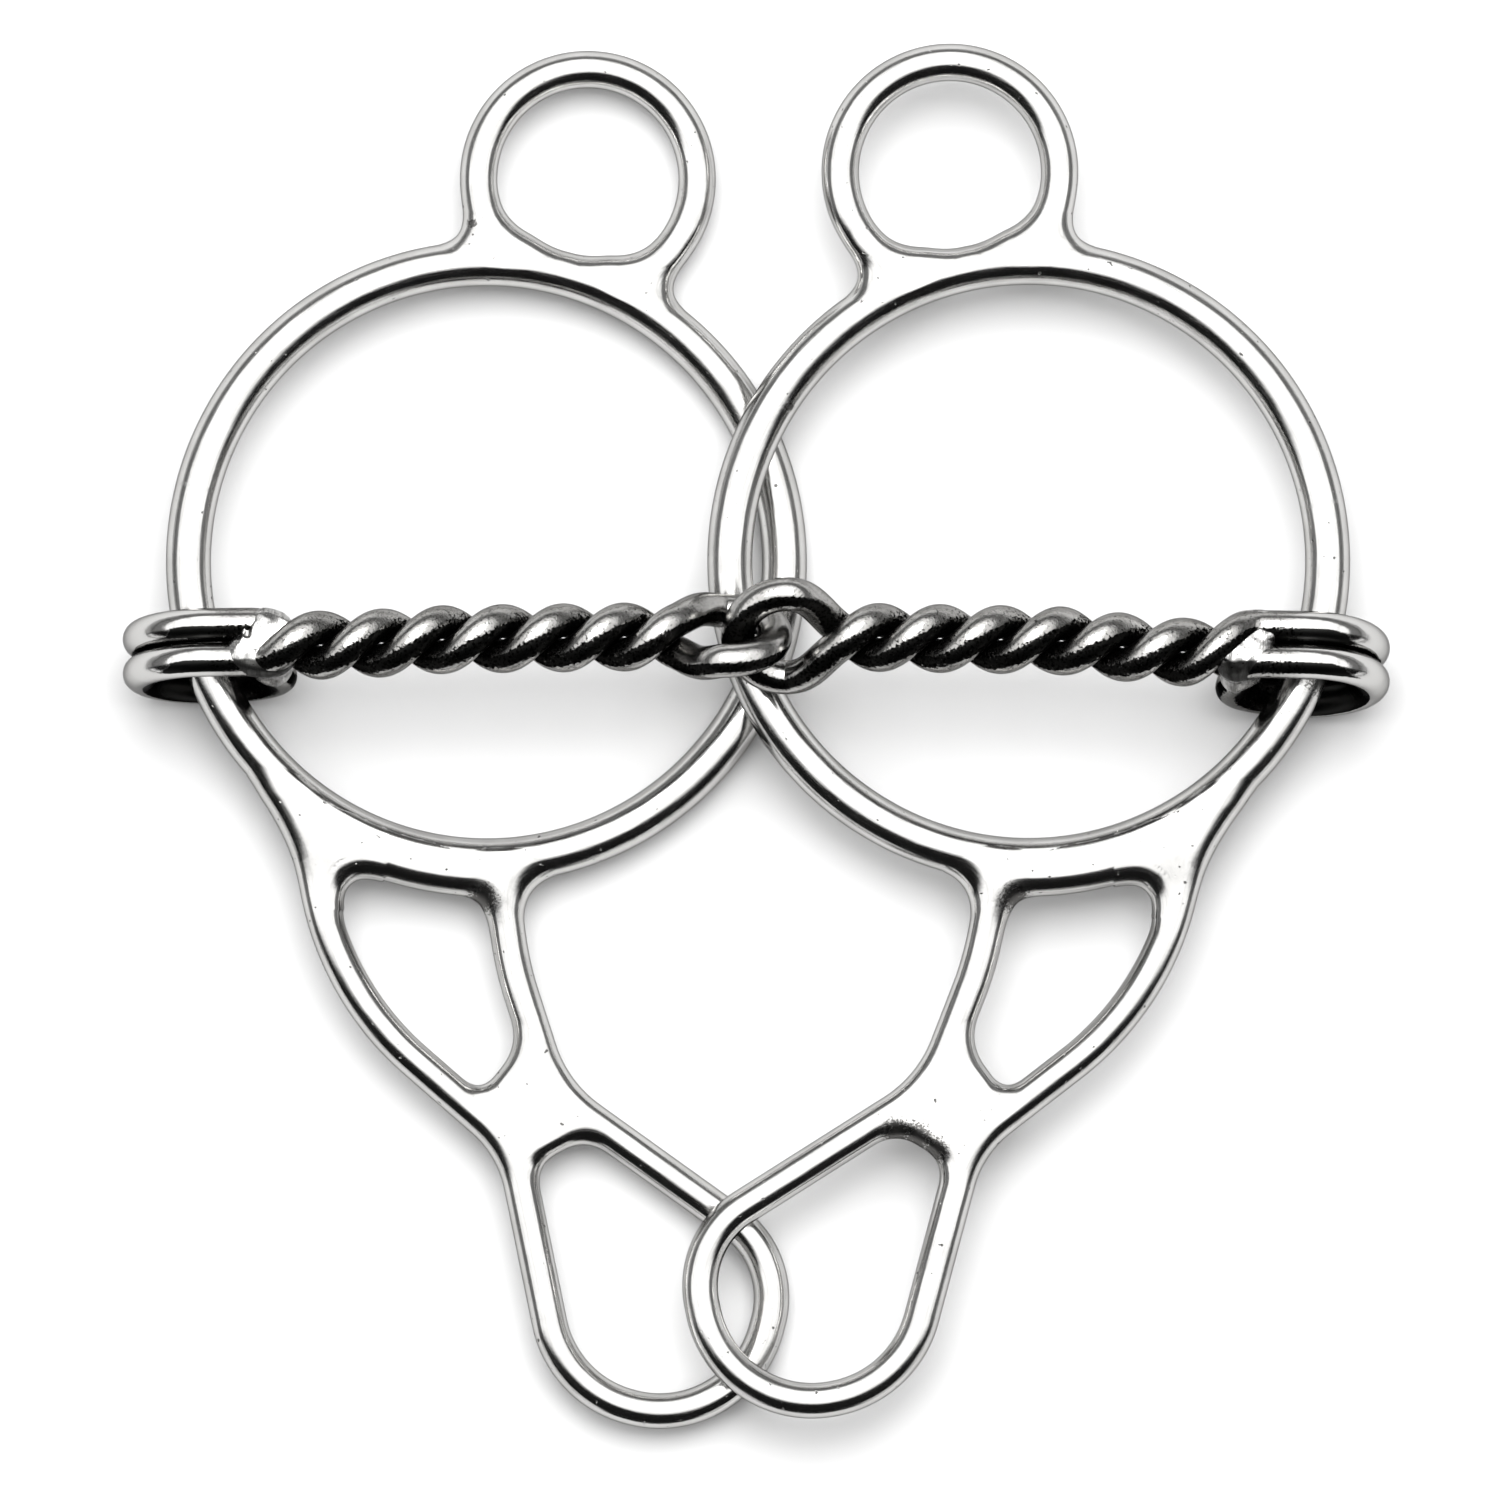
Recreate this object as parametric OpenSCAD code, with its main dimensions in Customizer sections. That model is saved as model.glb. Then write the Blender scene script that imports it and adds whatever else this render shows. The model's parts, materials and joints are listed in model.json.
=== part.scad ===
// Loose ring gag snaffle: a jointed, twisted wire mouthpiece between two cheeks.
// Each cheek is a large mouth ring with a small bridle ring welded above it and a bent
// rod below it that ends in a rein loop. The bit lies flat, mouthpiece along X, bridle
// rings towards +Y, with the left cheek under the right one where they cross.

/* [Mouthpiece] */
// Length of one cannon, from the link to the centre of its end eye
cannon_l = 64.25; // [54:0.25:78]
// Diameter of the mouthpiece wire
wire_d = 4; // [3.3:0.1:4.8]
// Half turns that the two strands make between the link and the end eye
half_turns = 7; // [5:1:8]
// Inside width of the link eyes
link_bore = 7.4; // [6:0.1:9]
// Hole across the end eyes
end_eye_bore = 12.5; // [12:0.1:16]
// Angle between the plane of a link eye and the axis of its end eye
link_angle = 42; // [30:1:60]

/* [Cheeks] */
// Outside diameter of the mouth rings
mouth_ring_d = 75.6; // [63:0.2:92]
// Bar diameter of the mouth rings
mouth_bar_d = 5.3; // [4:0.1:6.4]
// Outside diameter of the bridle rings
bridle_ring_d = 30.2; // [25:0.1:37]
// Bar diameter of the bridle rings
bridle_bar_d = 4.4; // [3.6:0.1:5]
// Rod diameter of the rein shanks
shank_rod_d = 4.2; // [3.6:0.1:4.8]
// How far the foot of the rein loop lies below the mouth ring
shank_l = 54.1; // [45:0.1:66]
// Width across the rein loop, between rod centres
rein_loop_w = 29; // [26:0.5:34]
// Thickness of the flat webs in the corners between the rods
web_t = 3.1; // [2.4:0.1:3.2]
// Radius of the web edges
web_fillet_r = 3; // [2:0.1:3.5]

/* [Lie] */
// Lean of the left cheek towards the middle
left_lean = 14.8; // [5:0.1:18]
// Lean of the right cheek towards the middle
right_lean = 11.45; // [5:0.05:18]
// Roll of the left cannon about its own length
left_roll = 11; // [5:1:18]
// Roll of the right cannon about its own length
right_roll = 16; // [5:1:18]
// Clearance between pieces that move on each other
clearance = 0.35; // [0.3:0.05:0.5]

/* [Hidden] */

eps = 0.01;

// Mouthpiece
strand_gap = 0.1;
wire_sides = 12;
rod_sides = 20;
strand_r = (wire_d + strand_gap) / 2;
link_r = (link_bore + wire_d) / 2;
eye_r = (end_eye_bore + wire_d) / 2;
apex_x = -(wire_d + clearance) / 2;
link_x = apex_x + link_r;
neck_l = 6;
ramp_in = 5;
ramp_out = 3;
twist_end_x = cannon_l - 5.1;
twist_total = 180 * half_turns + 90 - link_angle;
twist_rate = twist_total / (twist_end_x - link_x - (ramp_in + ramp_out) / 2);
eye_wrap = 290;

// Cheeks
mouth_r = (mouth_ring_d - mouth_bar_d) / 2;
ring_foot_y = -mouth_ring_d / 2;
bridle_r = (bridle_ring_d - bridle_bar_d) / 2;
foot_overlap = 6.2;
bridle_y = (mouth_ring_d + bridle_ring_d) / 2 - foot_overlap;
bridle_cut = 44;

// Height of each ring where it lies furthest in, the right one on top of the left
left_far_z = mouth_bar_d / 2 + eps;
right_far_z = left_far_z + mouth_bar_d + 3 * clearance;

// Where the pieces lie. The left link eye rests just above the right ring.
link_rest = 0.254;
link_z = right_far_z + mouth_bar_d / 2
    + link_r * cos(link_angle - left_roll) + wire_d / 2 + link_rest;
link_at = [0, 11.88, link_z];
bar_out = 0.75;
slant_lift = 0.3;
left_eye_angle = 18.4;
right_eye_angle = 20.2;

function unit(v) = v / norm(v);
function side_turn(a, b) = atan2(cross(a, b), a * b);

// --- Mouthpiece -------------------------------------------------------------

// Turn of the strands about the cannon's axis: it eases in, runs evenly, and eases out
function twist(x) =
    let (u = x - link_x, v = twist_end_x - x)
    u <= 0 ? 0
    : u < ramp_in ? twist_rate * u * u / (2 * ramp_in)
    : v <= 0 ? twist_total
    : v < ramp_out ? twist_total - twist_rate * v * v / (2 * ramp_out)
    : twist_rate * (u - ramp_in / 2);

// Distance of a strand from the axis: wide at the link eye, then closed up
function spread(x) =
    let (u = min(1, (x - link_x) / neck_l))
    strand_r + (link_r - strand_r) * (1 + cos(180 * u)) / 2;

function strand_point(x, side) =
    let (a = twist(x) + link_angle - 180)
    [x, side * spread(x) * sin(a), side * spread(x) * cos(a)];

// One strand from the link eye to the end of its hoop round the ring
function strand(side) = concat(
    [for (i = [1:9]) strand_point(link_x + i * neck_l / 9, side)],
    let (from = link_x + neck_l, n = 62)
        [for (i = [1:n]) strand_point(from + i * (twist_end_x - from) / n, side)],
    [for (a = [0:12:eye_wrap])
        [cannon_l + eye_r * sin(a), side * strand_r, eye_r * (cos(a) - 1)]],
    [[cannon_l + eye_r * sin(eye_wrap), side * strand_r, eye_r * (cos(eye_wrap) - 1)]]
);

function reversed(list) = [for (i = [len(list) - 1:-1:0]) list[i]];

// The whole wire: in along one strand, round the link eye, and out along the other
wire_path = concat(
    reversed(strand(1)),
    [for (a = [0:15:180])
        let (y = link_r * cos(a))
        [link_x - link_r * sin(a), y * sin(link_angle - 180), y * cos(link_angle - 180)]],
    strand(-1)
);

// Direction of the wire at point i
function heading(p, i) =
    unit(p[min(i + 1, len(p) - 1)] - p[max(i - 1, 0)]);

// A normal carried along the path without twisting about it
function carried(p) = [
    for (
        i = 0, n = unit(cross(heading(p, 0), [0, 1, 0]));
        i < len(p);
        i = i + 1,
        n = let (t = heading(p, min(i, len(p) - 1))) unit(n - (n * t) * t)
    ) n
];

// A round wire of diameter d swept along the points of p
module swept_wire(p, d, sides) {
    normals = carried(p);
    points = [
        for (i = [0:len(p) - 1])
            let (t = heading(p, i), n = normals[i], b = cross(t, n))
            for (k = [0:sides - 1])
                p[i] + d / 2 * (cos(360 * k / sides) * n + sin(360 * k / sides) * b)
    ];
    last = (len(p) - 1) * sides;
    faces = concat(
        [[for (k = [0:sides - 1]) k]],
        [
            for (i = [0:len(p) - 2], k = [0:sides - 1])
                let (a = i * sides + k, b = i * sides + (k + 1) % sides)
                each [[a, a + sides, b], [b, a + sides, b + sides]]
        ],
        [[for (k = [sides - 1:-1:0]) last + k]]
    );
    polyhedron(points, faces, convexity = 10);
}

// Weld metal that closes the hoops: beads across the strands, over and under them
module end_weld() {
    bead_r = wire_d * 0.55;
    foot_x = cannon_l - eye_r * 0.86;
    for (i = [0:3])
        hull()
            for (y = [-strand_r, strand_r])
                translate([foot_x + 0.6 + i * 1.5, y * 0.75, 0.2])
                    sphere(d = wire_d, $fn = 16);
    for (i = [0:3])
        hull()
            for (y = [-strand_r, strand_r])
                translate([foot_x - 0.3 + i * 0.35, y * 0.9, -1.3 - i * 1.1])
                    sphere(r = bead_r - i * 0.12, $fn = 16);
}

module cannon() {
    swept_wire(wire_path, wire_d, wire_sides);
    end_weld();
}

// --- Cheeks -----------------------------------------------------------------

// The outer rail bends in at the yoke, then runs straight down to the rein loop's foot
rail_bend = [-20.6, -27.9];
loop_x = rail_bend.x - (shank_l + rail_bend.y) * 13 / 26.2;
loop_far_x = loop_x + 7.6 - rein_loop_w;

// Corners of the rein shank's rod as [x, y, bend radius], y from the foot of the mouth
// ring: down the outer rail, round the rein loop, and back up the inner rail. The first
// and last points are ends in the ring.
shank_bends = [
    [14.5, 5.8, 0],
    [3.9, -15.8, 35],
    [rail_bend.x, rail_bend.y, 14],
    [loop_x, -shank_l, 13],
    [loop_far_x, -shank_l, 13],
    [loop_far_x, 21.5 - shank_l, 11],
    [-23.5, -20.6, 16],
    [-15.3, -7.8, 40],
    [-10.3, 3.6, 0]
];

// Corners of the flat yoke that ties the two rails together above the rein loop
yoke = [[-14.5, -24.2], [-19.5, -15.7], [-28.6, -25], [-24.6, -30.4]];

// How far before and after corner i of a bent rod its bend begins and ends
function bend_reach(p, i) =
    p[i].z * tan(abs(bend_turn(p, i)) / 2);
function at(p, i) = [p[i].x, p[i].y];
function bend_turn(p, i) =
    side_turn(at(p, i) - at(p, i - 1), at(p, i + 1) - at(p, i));
function bend_in(p, i) =
    i == 0 || i == len(p) - 1 ? at(p, i)
    : at(p, i) - bend_reach(p, i) * unit(at(p, i) - at(p, i - 1));
function bend_out(p, i) =
    i == 0 || i == len(p) - 1 ? at(p, i)
    : at(p, i) + bend_reach(p, i) * unit(at(p, i + 1) - at(p, i));
function bend_centre(p, i) =
    let (d = unit(at(p, i) - at(p, i - 1)), s = sign(bend_turn(p, i)))
    bend_in(p, i) + s * p[i].z * [-d.y, d.x];

// Points along the middle of a bent rod, closer together round its bends
function rod_line(p) = concat(
    [at(p, 0)],
    [
        for (i = [1:len(p) - 2])
            let (
                c = bend_centre(p, i),
                v = bend_in(p, i) - c,
                turn = bend_turn(p, i),
                n = ceil(abs(turn) / 9)
            )
            for (k = [0:n])
                let (a = turn * k / n)
                c + [v.x * cos(a) - v.y * sin(a), v.x * sin(a) + v.y * cos(a)]
    ],
    [at(p, len(p) - 1)]
);

module bent_rod(p, d) {
    swept_wire([for (q = rod_line(p)) [q.x, q.y, 0]], d, rod_sides);
}

// The same rod drawn flat, w wide, for the webs
module flat_rod(p, w) {
    line = rod_line(p);
    edges = [
        for (side = [1, -1])
            [
                for (i = [0:len(line) - 1])
                    let (t = heading(line, i))
                    line[i] + side * w / 2 * [-t.y, t.x]
            ]
    ];
    polygon(concat(edges[0], reversed(edges[1])));
}

module ring(outside_d, bar_d) {
    rotate_extrude()
        translate([(outside_d - bar_d) / 2, 0])
            circle(d = bar_d);
}

module flat_ring(outside_d, bar_d, w) {
    difference() {
        circle(d = outside_d - bar_d + w, $fn = 120);
        circle(d = outside_d - bar_d - w, $fn = 120);
    }
}

// Width of a bar at the face of the webs, less a little so that a web's edge stays inside it
function web_width(bar_d) = 2 * sqrt(pow(bar_d / 2, 2) - pow(web_t / 2, 2)) - 0.3;

// A flat web with filleted corners, kept only inside the given places
module web(places) {
    translate([0, 0, -web_t / 2])
        linear_extrude(web_t)
            intersection() {
                offset(r = -web_fillet_r, $fn = 64)
                    offset(r = web_fillet_r, $fn = 64) {
                        flat_ring(mouth_ring_d, mouth_bar_d, web_width(mouth_bar_d));
                        children();
                    }
                for (p = places)
                    translate([p.x, p.y])
                        circle(r = p.z, $fn = 48);
            }
}

module mouth_ring() {
    ring(mouth_ring_d, mouth_bar_d);
}

// A ring open at its foot, where it is welded on top of the mouth ring
module bridle_ring() {
    difference() {
        union() {
            translate([0, bridle_y, 0])
                rotate([0, 0, -90 + bridle_cut])
                    rotate_extrude(angle = 360 - 2 * bridle_cut)
                        translate([bridle_r, 0])
                            circle(d = bridle_bar_d);
            web([[-11, bridle_y - 9.5, 7.5], [11, bridle_y - 9.5, 7.5]])
                translate([0, bridle_y])
                    flat_ring(bridle_ring_d, bridle_bar_d, web_width(bridle_bar_d));
        }
        mouth_ring();
    }
}

module rein_shank() {
    difference() {
        union() {
            translate([0, ring_foot_y, 0])
                bent_rod(shank_bends, shank_rod_d);
            web([
                [13, ring_foot_y + 1.8, 7.5],
                [-12, ring_foot_y - 0.2, 8],
                [-22, ring_foot_y - 23.2, 9.5]
            ])
                translate([0, ring_foot_y]) {
                    flat_rod(shank_bends, web_width(shank_rod_d));
                    polygon(yoke);
                }
        }
        mouth_ring();
    }
}

// --- Placing ----------------------------------------------------------------

// Height of an end eye's centre with its lower hoop standing on the ground
function eye_height(roll) =
    eye_r * cos(roll) + wire_d / 2 + strand_r * sin(roll);

// Top of the end eye, where the cannon's axis ends
function eye_top(side, roll, drop) = [
    link_at.x + side * cannon_l,
    link_at.y - drop,
    eye_height(roll) + eye_r * cos(roll)
];

module place_cannon(side, roll, drop) {
    run = eye_top(side, roll, drop) - link_at;
    translate(link_at)
        rotate([0, -asin(run.z / norm(run)), atan2(run.y, run.x)])
            rotate([-side * roll, 0, 0])
                children();
}

// Height of the ring bar in the foot of the end eye. The hoops are rolled and the bar
// crosses them at a slant, so it rides a little above the bottom of the hole.
function bar_z(roll) =
    wire_d / 2 * (1 + cos(roll)) + 2 * strand_r * sin(roll)
    + mouth_bar_d / 2 + clearance + slant_lift;

module place_cheek(side, lean, eye_angle, roll, drop, far_z) {
    top = eye_top(side, roll, drop);
    eye_y = top.y - eye_r * sin(roll);
    tilt = asin((bar_z(roll) - far_z) / (2 * mouth_r));
    translate([top.x + side * bar_out, eye_y + mouth_r * sin(eye_angle), bar_z(roll)])
        rotate([0, -side * tilt, 0])
            translate([-side * mouth_r * cos(eye_angle), 0, 0])
                rotate([0, 0, side * lean])
                    mirror([side < 0 ? 1 : 0, 0, 0])
                        children();
}

left_drop = 0.82;
right_drop = 1.1;

module left_cheek_place() {
    place_cheek(-1, left_lean, left_eye_angle, left_roll, left_drop, left_far_z)
        children();
}

module right_cheek_place() {
    place_cheek(1, right_lean, right_eye_angle, right_roll, right_drop, right_far_z)
        children();
}

module left_cannon() {
    color("dimgray")
        place_cannon(-1, left_roll, left_drop)
            cannon();
}

module left_mouth_ring() {
    color("silver")
        left_cheek_place()
            mouth_ring();
}

module left_bridle_ring() {
    color("lightgray")
        left_cheek_place()
            bridle_ring();
}

module left_rein_shank() {
    color("silver")
        left_cheek_place()
            rein_shank();
}

module right_cannon() {
    color("dimgray")
        place_cannon(1, right_roll, right_drop)
            cannon();
}

module right_mouth_ring() {
    color("silver")
        right_cheek_place()
            mouth_ring();
}

module right_bridle_ring() {
    color("lightgray")
        right_cheek_place()
            bridle_ring();
}

module right_rein_shank() {
    color("silver")
        right_cheek_place()
            rein_shank();
}

left_cannon();
left_mouth_ring();
left_bridle_ring();
left_rein_shank();
right_cannon();
right_mouth_ring();
right_bridle_ring();
right_rein_shank();
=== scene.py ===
import json
import math

import bpy
import numpy as np
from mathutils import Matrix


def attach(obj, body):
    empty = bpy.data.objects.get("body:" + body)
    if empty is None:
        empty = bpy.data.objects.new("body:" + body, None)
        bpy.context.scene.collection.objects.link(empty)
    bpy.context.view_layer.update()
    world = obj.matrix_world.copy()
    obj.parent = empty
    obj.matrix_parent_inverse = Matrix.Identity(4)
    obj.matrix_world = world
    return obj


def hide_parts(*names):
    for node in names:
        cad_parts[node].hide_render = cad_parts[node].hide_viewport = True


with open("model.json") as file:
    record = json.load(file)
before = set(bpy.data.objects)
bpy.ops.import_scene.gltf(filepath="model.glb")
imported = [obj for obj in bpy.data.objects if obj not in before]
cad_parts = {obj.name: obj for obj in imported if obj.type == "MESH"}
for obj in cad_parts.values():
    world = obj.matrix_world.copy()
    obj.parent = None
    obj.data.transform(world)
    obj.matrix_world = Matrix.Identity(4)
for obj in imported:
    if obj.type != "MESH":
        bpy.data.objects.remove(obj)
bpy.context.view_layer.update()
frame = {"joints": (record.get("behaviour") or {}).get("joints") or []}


# ------------------------------------------------------------------ Mouth rings
# Each mouth ring is a round stainless bar, bent to a three inch ring, butt welded
# shut and polished bright. It runs through the end eye of its cannon. The bridle
# ring and the rein shank are welded to its outside.

MM = 0.001  # a millimetre in the bit's metres
RING_R = 35.15  # middle of the bar
RING_BAR = 2.65  # half the bar's thickness
LEAN = {"left": (-1, 14.8), "right": (1, 11.45)}  # side, and degrees it leans to the middle
GRAIN = 20  # how many times longer the grain is along a bar than across it


def cheek_frame(side):
    """From a cheek's own millimetres, centred in its mouth ring, to the bit's metres"""
    sign, lean = LEAN[side]
    turn = next(j for j in frame["joints"] if j["name"] == side + "_ring_turn")
    up = np.array(turn["axis"], float)
    across = np.cross((0, 1, 0), up)
    along = np.cross(up, across)
    c, s = math.cos(math.radians(sign * lean)), math.sin(math.radians(sign * lean))
    place = np.eye(4)
    place[:3, 0] = sign * (c * across + s * along) * MM
    place[:3, 1] = (c * along - s * across) * MM
    place[:3, 2] = up * MM
    place[:3, 3] = turn["pos_m"]
    return place


def headings(line, closed):
    """Direction of a line at each of its points"""
    if closed:
        d = np.roll(line, -1, 0) - np.roll(line, 1, 0)
    else:
        d = np.gradient(line, axis=0)
    return d / np.linalg.norm(d, axis=1)[:, None]


def drawn_bar(line, radius, sides, closed=False):
    """Points, quads and grain of a round bar drawn along a line"""
    t = headings(line, closed)
    normal = np.cross(t[0], (0, 1, 0)) if abs(t[0][1]) < 0.9 else np.array((0.0, 0, 1))
    normals = []
    for heading in t:
        normal = normal - heading * (normal @ heading)
        normal = normal / np.linalg.norm(normal)
        normals.append(normal)
    n = np.array(normals)
    b = np.cross(t, n)
    a = np.linspace(0, 2 * math.pi, sides, endpoint=False)
    ring = np.cos(a)[None, :, None] * n[:, None] + np.sin(a)[None, :, None] * b[:, None]
    points = (line[:, None] + radius * ring).reshape(-1, 3)
    count = len(line)
    i, k = np.meshgrid(np.arange(count if closed else count - 1), np.arange(sides), indexing="ij")
    j, m = (i + 1) % count, (k + 1) % sides
    quads = np.stack([i * sides + k, i * sides + m, j * sides + m, j * sides + k], -1)
    faces = quads.reshape(-1, 4).tolist()
    if not closed:
        faces += [list(range(sides))[::-1], [(count - 1) * sides + k for k in range(sides)]]
    steps = np.linalg.norm(np.diff(line, axis=0, prepend=line[:1]), axis=1)
    grain = np.stack(
        np.broadcast_arrays(
            radius * np.cos(a)[None], radius * np.sin(a)[None], np.cumsum(steps)[:, None] / GRAIN
        ),
        -1,
    )
    return points, faces, grain.reshape(-1, 3)


def make_piece(name, points, faces, place, material, normals=None, **marks):
    """A mesh in the bit's metres, with the marks that its finish reads"""
    mesh = bpy.data.meshes.new(name)
    if np.linalg.det(place[:3, :3]) < 0:
        faces = [f[::-1] for f in faces]
    mesh.from_pydata((points @ place[:3, :3].T + place[:3, 3]).tolist(), [], faces)
    mesh.polygons.foreach_set("use_smooth", [True] * len(mesh.polygons))
    for mark, values in marks.items():
        kind = "FLOAT_VECTOR" if values.ndim == 2 else "FLOAT"
        field = "vector" if values.ndim == 2 else "value"
        mesh.attributes.new(mark, kind, "POINT").data.foreach_set(
            field, values.astype(np.float32).ravel()
        )
    if normals is not None:
        turned = normals @ place[:3, :3].T
        turned = turned / np.linalg.norm(turned, axis=1)[:, None]
        mesh.normals_split_custom_set_from_vertices(turned.tolist())
    mesh.materials.append(material)
    piece = bpy.data.objects.new(name, mesh)
    bpy.context.scene.collection.objects.link(piece)
    return piece


class Tone:
    """A value, colour or vector in a finish. Sums on it add Math nodes."""

    def __init__(self, finish, socket):
        self.finish = finish
        self.socket = socket

    def sum(self, operation, a, b):
        return self.finish.node("Math", {"operation": operation}, {0: a, 1: b})

    def __add__(self, other):
        return self.sum("ADD", self, other)

    def __sub__(self, other):
        return self.sum("SUBTRACT", self, other)

    def __rsub__(self, other):
        return self.sum("SUBTRACT", other, self)

    def __mul__(self, other):
        return self.sum("MULTIPLY", self, other)

    __radd__ = __add__
    __rmul__ = __mul__


class Finish:
    """The nodes of a finish, or of the studio's light"""

    def __init__(self, owner):
        owner.use_nodes = True
        self.owner = owner
        self.tree = owner.node_tree
        self.tree.nodes.clear()

    def node(self, kind, settings=None, inputs=None, out=0):
        """Any node: its settings, then its inputs. Gives the output named or numbered out."""
        node = self.tree.nodes.new("ShaderNode" + kind)
        for name, value in (settings or {}).items():
            setattr(node, name, value)
        for name, value in (inputs or {}).items():
            if isinstance(value, Tone):
                self.tree.links.new(value.socket, node.inputs[name])
            else:
                node.inputs[name].default_value = value
        return Tone(self, node.outputs[out]) if len(node.outputs) else None

    def mark(self, name, out="Fac"):
        """A mark that make_piece put on each point"""
        return self.node("Attribute", {"attribute_name": name}, out=out)

    def noise(self, at, scale, detail=2, rough=0.5):
        return self.node(
            "TexNoise", None, {"Vector": at, "Scale": scale, "Detail": detail, "Roughness": rough}
        )

    def between(self, value, low, high):
        """0 below low, 1 above high, and smooth between"""
        return self.node(
            "MapRange",
            {"interpolation_type": "SMOOTHSTEP"},
            {"Value": value, "From Min": low, "From Max": high},
        )

    def mix(self, share, a, b):
        """Colour a where share is 0, and b where it is 1"""
        return self.node("Mix", {"data_type": "RGBA"}, {"Factor": share, 6: a, 7: b}, out=2)

    def bump(self, height, depth, normal=None):
        """The normal of a relief of this depth, on top of another relief's normal"""
        inputs = {"Height": height, "Distance": depth}
        if normal:
            inputs["Normal"] = normal
        return self.node("Bump", None, inputs)


BRIGHT_STEEL = (0.58, 0.575, 0.565, 1)
GREY_STEEL = (0.36, 0.355, 0.345, 1)
SOOT = (0.035, 0.033, 0.031, 1)


def polished_steel(name):
    """Stainless steel polished by hand on a wheel: a soft waviness from the wheel, fine
    draw lines along the bar, a few pits, and grey grit where a weld was dressed"""
    f = Finish(bpy.data.materials.new(name))
    at = f.node("TexCoord", out="Object")
    grain = f.mark("grain", "Vector")
    grit = f.mark("grit")
    lines = f.noise(grain, 5.0, 3, 0.6)
    cloud = f.noise(at, 160.0, 3, 0.6)
    waves = f.noise(at, 260.0, 1, 0.4)
    peel = f.noise(at, 2600.0, 2, 0.6)
    specks = f.noise(at, 3600.0, 2, 0.6)
    pits = f.between(f.noise(at, 1500.0, 1, 0.3), 0.76, 0.80)
    dust = f.between(specks + grit * 0.52, 0.62, 0.78) * f.between(grit, 0.02, 0.3)
    worn = f.mix(f.between(cloud, 0.35, 0.7) * 0.35 + dust * 0.5, BRIGHT_STEEL, GREY_STEEL)
    colour = f.mix(pits * 0.8 + dust * 0.75, worn, SOOT)
    rough = 0.10 + cloud * 0.08 + f.between(lines, 0.45, 0.75) * 0.10 + grit * 0.22
    normal = f.bump(waves, 0.030 * MM)
    normal = f.bump(lines, 0.006 * MM, normal)
    normal = f.bump(peel * (1 + grit * 4.0), 0.004 * MM, normal)
    normal = f.bump(1 - pits, 0.05 * MM, normal)
    shader = f.node(
        "BsdfPrincipled",
        None,
        {
            "Base Color": colour, "Metallic": 1.0, "Roughness": rough, "Normal": normal,
            "Specular Tint": (0.25, 0.25, 0.25, 1),
        },
    )
    f.node("OutputMaterial", None, {"Surface": shader})
    return f.owner


def spotted(points, spots):
    """How gritty each point is, from (x, y, radius) spots of dressed weld"""
    grit = np.zeros(len(points))
    for x, y, r in spots:
        near = np.hypot(points[:, 0] - x, points[:, 1] - y) / r
        grit = np.maximum(grit, np.clip(1 - near, 0, 1))
    return grit


ring_steel = polished_steel("polished ring steel")
# Spots of grit on a cheek: x, y and radius, in its own millimetres
RING_GRIT = {"left": [], "right": [(-24.0, 23.4, 0.9), (31.5, -20.0, 3.6)]}

for side in LEAN:
    a = np.linspace(0, 2 * math.pi, 480, endpoint=False)
    line = RING_R * np.stack([np.cos(a), np.sin(a), 0 * a], -1)
    points, faces, grain = drawn_bar(line, RING_BAR, sides=56, closed=True)
    ring = make_piece(
        side + "_ring_bar", points, faces, cheek_frame(side), ring_steel,
        grain=grain, grit=spotted(points, RING_GRIT[side]),
    )
    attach(ring, side + "_cheek")
    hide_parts(side + "_mouth_ring")


# ----------------------------------------------------------------- Bridle rings
# The bridle's cheekpiece straps buckle to these. Each is a thinner stainless bar bent
# to a horseshoe, its two feet welded to the outside of the mouth ring and filed to a
# smooth fillet, then polished with it.

BRIDLE_R = 12.9
BRIDLE_BAR = 2.2
BRIDLE_Y = 46.7
BRIDLE_FOOT = 33  # degrees from straight down to the end of each leg, inside the ring's bar
SUNK = 0.004  # how far a welded piece stays under the ring's surface away from its weld
FLUSH = 1.5, 9.0  # a weld is filed level with the ring this near it, and not at all this far off
TAPER = 0.4  # a welded piece tapers off from this far outside the middle of the ring's bar
REACH = 6.5  # how far a piece and its fillets reach from the piece's own middle lines
CELL = 0.3  # grid on which the welded pieces are skinned


def eased(u):
    """0 up to 0, 1 from 1, and smooth between"""
    u = np.clip(u, 0, 1)
    return u * u * (3 - 2 * u)


def blend(a, b, k):
    """The nearer of two distances with a fillet between them, and the share of a in it"""
    share = np.clip(0.5 + 0.5 * (b - a) / k, 0, 1)
    return b + (a - b) * share - k * share * (1 - share), share


def to_segment(p, a, b):
    """Distance to a straight line between two points, flat or in space"""
    a, b = np.array(a, float), np.array(b, float)
    d = b - a
    t = np.clip(((p - a) @ d) / max(d @ d, 1e-9), 0, 1)
    return np.linalg.norm(p - a - t[:, None] * d, axis=1)


def to_arc(p, centre, r, middle, half):
    """Distance to an arc, given the angle of its middle and half its turn"""
    v = p - np.array(centre)
    off = np.abs((np.arctan2(v[:, 1], v[:, 0]) - middle + math.pi) % (2 * math.pi) - math.pi)
    return np.where(off <= half, np.abs(np.hypot(v[:, 0], v[:, 1]) - r), 1e3)


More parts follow.
